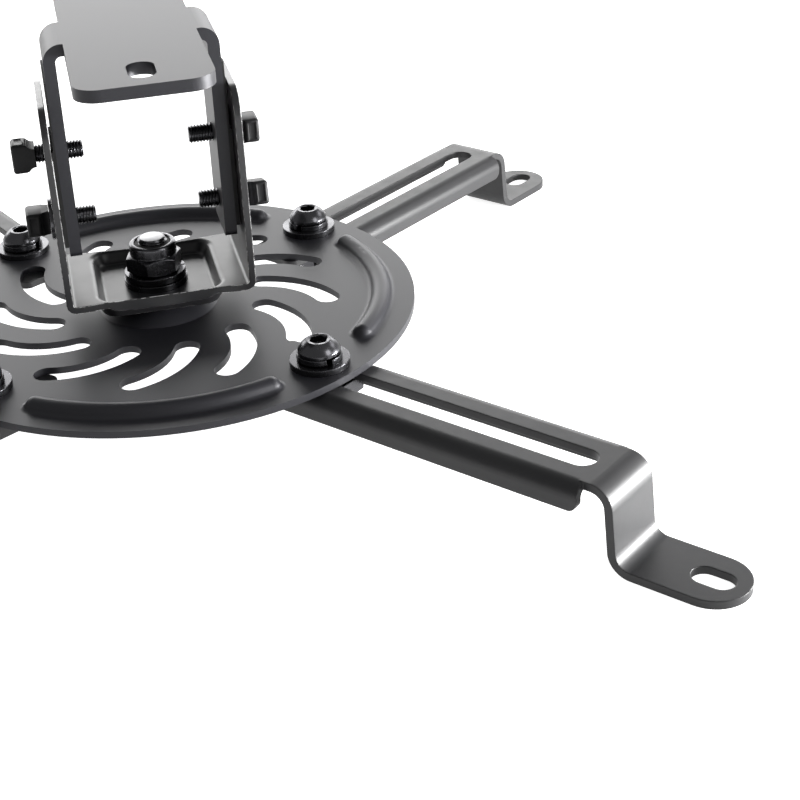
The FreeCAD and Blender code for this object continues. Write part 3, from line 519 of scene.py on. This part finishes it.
def thread_tree():
    """A round bar with a helical thread: a cylinder whose side is pulled in by a zigzag."""
    if "threaded_bar" in bpy.data.node_groups:
        return bpy.data.node_groups["threaded_bar"]
    around = 40  # corners of the cylinder
    steepness = 2.6  # of the thread's flanks: above 2 it leaves a flat at the groove's root
    root_share = 1.3  # depth to which the bar's ends are turned down, in thread depths
    tree = bpy.data.node_groups.new("threaded_bar", "GeometryNodeTree")
    tree.interface.new_socket("Geometry", in_out="OUTPUT", socket_type="NodeSocketGeometry")
    for name in ("Radius", "Depth", "Pitch", "Length"):
        tree.interface.new_socket(name, in_out="INPUT", socket_type="NodeSocketFloat")
    tree.interface.new_socket("Rings", in_out="INPUT", socket_type="NodeSocketInt")
    tree.interface.new_socket("Material", in_out="INPUT", socket_type="NodeSocketMaterial")
    link = tree.links.new
    sizes = tree.nodes.new("NodeGroupInput").outputs

    def calculate(operation, first, second=None):
        node = tree.nodes.new("ShaderNodeMath")
        node.operation = operation
        for socket, value in zip(node.inputs, (first, second)):
            if isinstance(value, (int, float)):
                socket.default_value = value
            elif value is not None:
                link(value, socket)
        return node.outputs[0]

    bar = tree.nodes.new("GeometryNodeMeshCylinder")
    bar.inputs["Vertices"].default_value = around
    link(sizes["Rings"], bar.inputs["Side Segments"])
    link(sizes["Radius"], bar.inputs["Radius"])
    link(sizes["Length"], bar.inputs["Depth"])
    place = tree.nodes.new("ShaderNodeSeparateXYZ")
    link(tree.nodes.new("GeometryNodeInputPosition").outputs[0], place.inputs[0])
    x, y, z = place.outputs

    turns = calculate("DIVIDE", calculate("ARCTAN2", y, x), 2 * math.pi)
    phase = calculate("ADD", calculate("DIVIDE", z, sizes["Pitch"]), turns)
    zigzag = calculate("MULTIPLY", calculate("PINGPONG", phase, 0.5), steepness)
    groove = calculate("MULTIPLY", calculate("MINIMUM", zigzag, 1.0), sizes["Depth"])
    threaded = calculate("SUBTRACT", sizes["Radius"], groove)
    half_length = calculate("DIVIDE", sizes["Length"], 2)
    from_end = calculate("SUBTRACT", half_length, calculate("ABSOLUTE", z))
    root_depth = calculate("MULTIPLY", sizes["Depth"], root_share)
    root = calculate("SUBTRACT", sizes["Radius"], root_depth)
    bevelled = calculate("MINIMUM", threaded, calculate("ADD", root, from_end))
    shrink = calculate("DIVIDE", bevelled, sizes["Radius"])

    moved = tree.nodes.new("ShaderNodeCombineXYZ")
    link(calculate("MULTIPLY", x, shrink), moved.inputs["X"])
    link(calculate("MULTIPLY", y, shrink), moved.inputs["Y"])
    link(z, moved.inputs["Z"])
    setter = tree.nodes.new("GeometryNodeSetPosition")
    link(bar.outputs["Mesh"], setter.inputs["Geometry"])
    link(moved.outputs[0], setter.inputs["Position"])
    realised = tree.nodes.new("GeometryNodeRealizeInstances")
    link(setter.outputs["Geometry"], realised.inputs["Geometry"])
    coated = tree.nodes.new("GeometryNodeSetMaterial")
    link(realised.outputs["Geometry"], coated.inputs["Geometry"])
    link(sizes["Material"], coated.inputs["Material"])
    link(coated.outputs["Geometry"], tree.nodes.new("NodeGroupOutput").inputs[0])
    return tree


def threaded_mesh(name, radius, depth, pitch, length, finish):
    """Runs the thread's node tree and keeps its result as a plain mesh."""
    rings_per_turn = 10
    tree = thread_tree()
    holder = bpy.data.objects.new(f"{name}_holder", bpy.data.meshes.new(f"{name}_holder"))
    bpy.context.scene.collection.objects.link(holder)
    modifier = holder.modifiers.new("thread", "NODES")
    modifier.node_group = tree
    values = {
        "Radius": radius, "Depth": depth, "Pitch": pitch, "Length": length,
        "Rings": math.ceil(length / pitch * rings_per_turn), "Material": material_named(finish),
    }
    for item in tree.interface.items_tree:
        if item.in_out == "INPUT":
            modifier[item.identifier] = values[item.name]
    evaluated = holder.evaluated_get(bpy.context.evaluated_depsgraph_get())
    mesh = bpy.data.meshes.new_from_object(evaluated)
    bpy.data.objects.remove(holder)
    return mesh


class MOUNT_OT_coat_metal(bpy.types.Operator):
    """Give the sheet metal, the strips and the washers their finishes"""

    bl_idname = "mount.coat_metal"
    bl_label = "Coat the Metal"

    def execute(self, context):
        for finish, nodes in SOLIDS_BY_FINISH.items():
            for node in nodes:
                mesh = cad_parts[node].data
                mesh.materials.clear()
                mesh.materials.append(material_named(finish))
        return {"FINISHED"}


def grip_mesh(name, width, edge_radius):
    """The moulded T-bar grip, standing on z = 0, its bar along x, with a rim round each end."""
    neck, bar = 2.4 * MM, 3.8 * MM  # half widths at the foot and at the top
    neck_height, top = 2.1 * MM, 5.8 * MM
    hollow = 2.0 * MM  # radius of the curve between them
    rim, sunk = 0.3 * MM, 0.2 * MM
    smallest_end = 5 * MM * MM
    nearly = 0.001 * MM
    curve = arc_between((neck, 0), (bar, neck_height), -hollow)
    half = [(neck, 0.0)] + curve + [(bar, neck_height), (bar, top)]
    outline = half + [(-x, z) for x, z in reversed(half)]
    shape = bmesh.new()
    face = shape.faces.new([shape.verts.new((x, -width / 2, z)) for x, z in outline])
    grown = bmesh.ops.extrude_face_region(shape, geom=[face])
    moved = [item for item in grown["geom"] if isinstance(item, bmesh.types.BMVert)]
    bmesh.ops.translate(shape, verts=moved, vec=(0, width, 0))
    bmesh.ops.recalc_face_normals(shape, faces=shape.faces)
    rounded = [
        edge for edge in shape.edges
        if all(abs(vertex.co.z - top) < nearly for vertex in edge.verts)
        or all(abs(abs(vertex.co.x) - bar) < nearly for vertex in edge.verts)
    ]
    bmesh.ops.bevel(
        shape, geom=rounded, offset=edge_radius, segments=4, profile=0.5, affect="EDGES",
    )
    ends = [
        face for face in shape.faces
        if abs(face.normal.x) > 0.99 and face.calc_area() > smallest_end
    ]
    bmesh.ops.inset_individual(
        shape, faces=ends, thickness=rim, depth=-sunk, use_even_offset=True,
    )
    mesh = bpy.data.meshes.new(name)
    shape.to_mesh(mesh)
    shape.free()
    return mesh


class MOUNT_OT_thumb_screws(bpy.types.Operator):
    """Make the thumb screws: moulded grips on threaded studs"""

    bl_idname = "mount.thumb_screws"
    bl_label = "Thumb Screws"

    def execute(self, context):
        for side, outward in SIDES.items():
            for level in LEVELS:
                self.make_screw(context.scene.mount_hardware, f"{level}_{side}", outward)
        return {"FINISHED"}

    def make_screw(self, hardware, name, outward):
        """The stud starts at the inner end of the CAD solid and the grip stands on its outer end."""
        stud_length = 11.9 * MM
        node, body = f"thumb_screw_{name}", f"{name}_screw"
        low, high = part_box(node)
        inner = low.x if outward > 0 else high.x
        seat = Vector((inner + outward * stud_length, 0, centre_of(node).z))
        place = Matrix.Translation(seat) @ turned(90 * outward, "Y") @ turned(GRIP_TURNS[name])
        grip = grip_mesh(f"grip_{name}", hardware.grip_width, hardware.grip_round)
        grip.transform(place)
        piece = new_piece(f"grip_{name}", grip, "moulded_plastic", body)
        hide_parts(node)
        stud = threaded_mesh(
            f"stud_{name}", STUD_RADIUS, hardware.stud_depth, hardware.stud_pitch, stud_length,
            "black_plating",
        )
        stud.transform(place @ Matrix.Translation((0, 0, -stud_length / 2)))
        new_piece(f"stud_{name}", stud, "black_plating", body)


class MOUNT_OT_swivel_bolt(bpy.types.Operator):
    """Make the threaded swivel bolt, its lock nut and the spring washer between them"""

    bl_idname = "mount.swivel_bolt"
    bl_label = "Swivel Bolt"

    def execute(self, context):
        hardware = context.scene.mount_hardware
        self.make_bolt(hardware.bolt_pitch)
        self.make_nut()
        self.make_spring_washer(hardware.washer_rise)
        return {"FINISHED"}

    def make_bolt(self, pitch):
        """The hexagon head, the threaded rod and the bare, slightly domed end that was cut."""
        low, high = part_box("swivel_bolt")
        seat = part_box("bolt_washer")[0].z
        rings = bevelled_hexagon(WRENCH_FLATS, low.z, 1) + [(hexagon_ring(WRENCH_FLATS), seat)]
        mesh = lathe("bolt_head", rings, steps=96)
        head = new_piece("bolt_head", mesh, "bare_steel", "swivel_body", crease=20)
        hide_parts("swivel_bolt")
        length = high.z - seat
        rod = threaded_mesh(
            "bolt_rod", SWIVEL_BOLT_RADIUS, pitch * THREAD_SHARE, pitch, length, "black_plating",
        )
        rod.transform(Matrix.Translation((0, 0, seat + length / 2)))
        new_piece("bolt_rod", rod, "black_plating", "swivel_body")
        cut = [(3.0, -0.3), (3.0, 0.0), (2.7, 0.05), (0.4, 0.08)]
        rings = [(round_ring(radius * MM), high.z + height * MM) for radius, height in cut]
        mesh = lathe("bolt_end", rings, steps=72)
        new_piece("bolt_end", mesh, "bare_steel", "swivel_body")

    def make_nut(self):
        """A hexagon with a rounded collar, open at the top where the nylon ring sits."""
        added = 1.3 * MM  # the real collar is this much higher than the CAD solid's
        collar, rounding, rounding_steps = 6.1 * MM, 0.7 * MM, 6
        pocket, pocket_depth, pocket_bevel = 4.75 * MM, 1.7 * MM, 0.2 * MM
        low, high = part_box("lock_nut")
        shoulder, top = low.z + 4.6 * MM, high.z + added
        rings = bevelled_hexagon(WRENCH_FLATS, low.z, 1)
        rings += reversed(bevelled_hexagon(WRENCH_FLATS, shoulder, -1))
        rings += [(round_ring(collar), shoulder), (round_ring(collar), top - rounding)]
        for step in range(1, rounding_steps + 1):
            angle = math.pi / 2 * step / rounding_steps
            inset, rise = rounding * (1 - math.cos(angle)), rounding * (1 - math.sin(angle))
            rings.append((round_ring(collar - inset), top - rise))
        rings += [
            (round_ring(pocket + pocket_bevel), top),
            (round_ring(pocket), top - pocket_bevel),
            (round_ring(pocket), top - pocket_depth),
            (round_ring(SWIVEL_BOLT_RADIUS), top - pocket_depth),
        ]
        nut = lathe("nut", rings, steps=96)
        nut.transform(turned(NUT_TURN))
        piece = new_piece("nut", nut, "black_plating", "swivel_body", crease=20)
        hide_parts("lock_nut")
        self.make_nylon_ring(SWIVEL_BOLT_RADIUS, pocket, top)

    def make_nylon_ring(self, bore, outer, nut_top):
        """Fills the nut's pocket from just above its floor to a little below its rim."""
        bottom, face, bevel = nut_top - 1.65 * MM, nut_top - 0.3 * MM, 0.2 * MM
        section = (
            (bore, bottom), (outer, bottom), (outer, face - bevel), (outer - bevel, face), (bore, face),
        )
        rings = [(round_ring(radius), height) for radius, height in section]
        ring = lathe("nylon_ring", rings, steps=72)
        piece = new_piece("nylon_ring", ring, "nylon", "swivel_body")
        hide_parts("nylon_insert")

    def make_spring_washer(self, rise):
        play, gap = 0.15 * MM, 1.0 * MM
        low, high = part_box("spring_washer")
        ring = split_ring("nut_spring", SWIVEL_BOLT_RADIUS + play, high.y, high.z - low.z, rise, gap)
        ring.transform(Matrix.Translation((0, 0, low.z)))
        piece = new_piece("nut_spring", ring, "black_plating", "swivel_body")
        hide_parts("spring_washer")


class MOUNT_OT_arm_screws(bpy.types.Operator):
    """Make the button-head screws of the arms and the spring washers under their heads"""

    bl_idname = "mount.arm_screws"
    bl_label = "Arm Screws"

    def execute(self, context):
        hardware = context.scene.mount_hardware
        for name in ARMS:
            self.make_screw(name, hardware.screw_pitch)
            self.make_spring_washer(name, hardware.washer_rise)
        return {"FINISHED"}

    def make_screw(self, name, pitch):
        """A head on top of the spring washer, and a threaded shank down to the solid's end."""
        node, body = f"arm_screw_{name}", f"clamp_{name}"
        low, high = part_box(node)
        washer_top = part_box(f"arm_spring_washer_{name}")[1].z
        centre = centre_of(node)
        seat = Matrix.Translation((centre.x, centre.y, washer_top))
        head = self.make_head(f"screw_head_{name}", high.z - washer_top)
        head.transform(seat @ turned(SOCKET_TURNS[name]))
        piece = new_piece(f"screw_head_{name}", head, "black_plating", body, crease=25)
        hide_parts(node)
        length = washer_top - low.z
        rod = threaded_mesh(
            f"screw_shank_{name}", ARM_SCREW_RADIUS, pitch * THREAD_SHARE, pitch, length,
            "black_plating",
        )
        rod.transform(seat @ Matrix.Translation((0, 0, -length / 2)))
        new_piece(f"screw_shank_{name}", rod, "black_plating", body)

    def make_head(self, name, top):
        """A button head from z = 0 with a hexagon socket and a small bevel round it."""
        radius, edge, face = 5.25 * MM, 0.8 * MM, 3.0 * MM
        socket, socket_depth, socket_bevel = 4.0 * MM, 2.0 * MM, 0.15 * MM
        drill_point, drill_radius = 0.6 * MM, 0.3 * MM
        floor = top - socket_depth
        crown = arc_between((radius, edge), (face, top), radius)
        profile = [(radius, 0), (radius, edge)] + crown + [(face, top)]
        rings = [(round_ring(reach), height) for reach, height in profile]
        rings += [
            (round_ring(socket * 0.6), top),
            (hexagon_ring(socket), top - socket_bevel),
            (hexagon_ring(socket), floor),
            (round_ring(drill_radius), floor - drill_point),
        ]
        return lathe(name, rings, steps=72)

    def make_spring_washer(self, name, rise):
        play, gap = 0.25 * MM, 1.2 * MM
        node = f"arm_spring_washer_{name}"
        low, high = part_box(node)
        outer, sheet = (high.x - low.x) / 2, high.z - low.z
        ring = split_ring(f"screw_spring_{name}", ARM_SCREW_RADIUS + play, outer, sheet, rise, gap)
        centre = centre_of(f"arm_screw_{name}")
        place = Matrix.Translation((centre.x, centre.y, low.z))
        ring.transform(place @ turned(WASHER_GAPS[name]))
        piece = new_piece(
            f"screw_spring_{name}", ring, "black_plating", f"clamp_{name}",
        )
        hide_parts(node)


def area_light(name, place, target, size, power):
    """A panel facing its target, which reflects in the metal but isn't seen by the camera."""
    light = bpy.data.lights.new(name, "AREA")
    light.shape = "RECTANGLE"
    light.size, light.size_y = size
    light.energy = power
    lamp = bpy.data.objects.new(name, light)
    lamp.location = place
    lamp.rotation_euler = (Vector(target) - Vector(place)).to_track_quat("-Z", "Y").to_euler()
    lamp.visible_camera = False
    bpy.context.scene.collection.objects.link(lamp)


def make_lights(studio):
    area_light("back_panel", (0.1, 1.3, 0.33), (0, 0, -0.08), (2.4, 0.55), studio.back_power)
    area_light(
        "right_panel", (0.42, -0.15, -0.057), (0.1, -0.09, -0.07), (0.2, 0.08), studio.right_power,
    )
    area_light(
        "upper_right_panel", (0.9, 0.25, 0.5), (0, 0, -0.07), (0.5, 0.3), studio.upper_right_power,
    )
    area_light("front_panel", (0.5, -0.5, 0.35), (0, 0, -0.06), (0.3, 0.3), studio.front_power)


def make_world(studio):
    """A dim even room that the camera sees as white."""
    world = bpy.data.worlds.new("studio")
    world.use_nodes = True
    tree = world.node_tree
    background = tree.nodes["Background"]
    background.inputs["Color"].default_value = (1, 1, 1, 1)
    path = add_node(tree, "ShaderNodeLightPath")
    seen = add_node(tree, "ShaderNodeMapRange", To_Min=studio.surround_strength, To_Max=1.0)
    tree.links.new(path.outputs["Is Camera Ray"], seen.inputs["Value"])
    tree.links.new(seen.outputs["Result"], background.inputs["Strength"])
    bpy.context.scene.world = world


def make_camera(studio):
    """The photograph's viewpoint: where it stands, which way it looks and how it is tipped."""
    place = (-22.6 * MM, -391.8 * MM, 110.6 * MM)
    heading, dip, roll = 0.1509, 0.4794, -0.0764
    camera = bpy.data.cameras.new("camera")
    camera.sensor_width = 36
    camera.lens = studio.focal_length
    camera.shift_x, camera.shift_y = 0.123, -0.0625
    camera.clip_start = 0.01
    ahead = Vector((
        math.sin(heading) * math.cos(dip), math.cos(heading) * math.cos(dip), -math.sin(dip),
    ))
    level = Vector((math.cos(heading), -math.sin(heading), 0))
    upright = level.cross(ahead)
    right = level * math.cos(roll) + upright * math.sin(roll)
    above = upright * math.cos(roll) - level * math.sin(roll)
    holder = bpy.data.objects.new("camera", camera)
    holder.matrix_world = Matrix.Translation(place) @ Matrix((
        (right.x, above.x, -ahead.x, 0),
        (right.y, above.y, -ahead.y, 0),
        (right.z, above.z, -ahead.z, 0),
        (0, 0, 0, 1),
    ))
    bpy.context.scene.collection.objects.link(holder)
    bpy.context.scene.camera = holder


def floor_material(studio):
    """Pale and plain, seen white by the camera and almost white in reflections."""
    seen_glow, mirrored_glow = 0.86, 0.75
    material, tree = new_material("studio_floor")
    surface = add_node(
        tree, "ShaderNodeBsdfPrincipled", Roughness=0.9, Base_Color=studio.floor_colour,
        Emission_Color=(1, 1, 1, 1),
    )
    path = add_node(tree, "ShaderNodeLightPath")
    either = add_node(tree, "ShaderNodeMath", operation="MAXIMUM")
    tree.links.new(path.outputs["Is Glossy Ray"], either.inputs[0])
    tree.links.new(path.outputs["Is Transmission Ray"], either.inputs[1])
    mirrored = add_node(tree, "ShaderNodeMath", operation="MULTIPLY")
    mirrored.inputs[1].default_value = mirrored_glow
    tree.links.new(either.outputs["Value"], mirrored.inputs[0])
    glow = add_node(tree, "ShaderNodeMath", operation="MULTIPLY_ADD")
    glow.inputs[1].default_value = seen_glow
    tree.links.new(path.outputs["Is Camera Ray"], glow.inputs[0])
    tree.links.new(mirrored.outputs["Value"], glow.inputs[2])
    tree.links.new(glow.outputs["Value"], surface.inputs["Emission Strength"])
    finish_material(tree, surface)
    return material


def make_floor(studio):
    """A wide plane under the feet."""
    reach, bottom = 6.0, CAD_BOX[0][2]
    corners = ((-reach, -reach), (reach, -reach), (reach, reach), (-reach, reach))
    mesh = mesh_of("floor", [(x, y, bottom) for x, y in corners], [(0, 1, 2, 3)])
    mesh.materials.append(floor_material(studio))
    plane = bpy.data.objects.new("floor", mesh)
    bpy.context.scene.collection.objects.link(plane)


class MOUNT_OT_stage(bpy.types.Operator):
    """Set up the floor, the lights and the camera"""

    bl_idname = "mount.stage"
    bl_label = "Stage"

    def execute(self, context):
        studio = context.scene.mount_studio
        make_floor(studio)
        make_lights(studio)
        make_world(studio)
        make_camera(studio)
        context.scene.view_settings.view_transform = "Standard"
        return {"FINISHED"}


class MOUNT_PT_panel(bpy.types.Panel):
    """Lists the finishes, the sizes and the steps"""

    bl_idname = "MOUNT_PT_panel"
    bl_label = "Projector Mount"
    bl_space_type = "VIEW_3D"
    bl_region_type = "UI"
    bl_category = "Mount"

    def draw(self, context):
        scene = context.scene
        for group in (scene.mount_finishes, scene.mount_hardware, scene.mount_studio):
            box = self.layout.box()
            for name in group.__annotations__:
                box.prop(group, name)
        for operator in OPERATORS:
            self.layout.operator(operator.bl_idname)


OPERATORS = (
    MOUNT_OT_coat_metal,
    MOUNT_OT_thumb_screws,
    MOUNT_OT_swivel_bolt,
    MOUNT_OT_arm_screws,
    MOUNT_OT_stage,
)
GROUPS = (MountFinishes, MountHardware, MountStudio)


def register():
    for item in GROUPS + OPERATORS + (MOUNT_PT_panel,):
        bpy.utils.register_class(item)
    bpy.types.Scene.mount_finishes = PointerProperty(type=MountFinishes)
    bpy.types.Scene.mount_hardware = PointerProperty(type=MountHardware)
    bpy.types.Scene.mount_studio = PointerProperty(type=MountStudio)


def unregister():
    del bpy.types.Scene.mount_studio
    del bpy.types.Scene.mount_hardware
    del bpy.types.Scene.mount_finishes
    for item in (MOUNT_PT_panel,) + OPERATORS[::-1] + GROUPS[::-1]:
        bpy.utils.unregister_class(item)


def main():
    register()
    bpy.ops.mount.coat_metal()
    bpy.ops.mount.thumb_screws()
    bpy.ops.mount.swivel_bolt()
    bpy.ops.mount.arm_screws()
    bpy.ops.mount.stage()


if __name__ == "__main__":
    main()
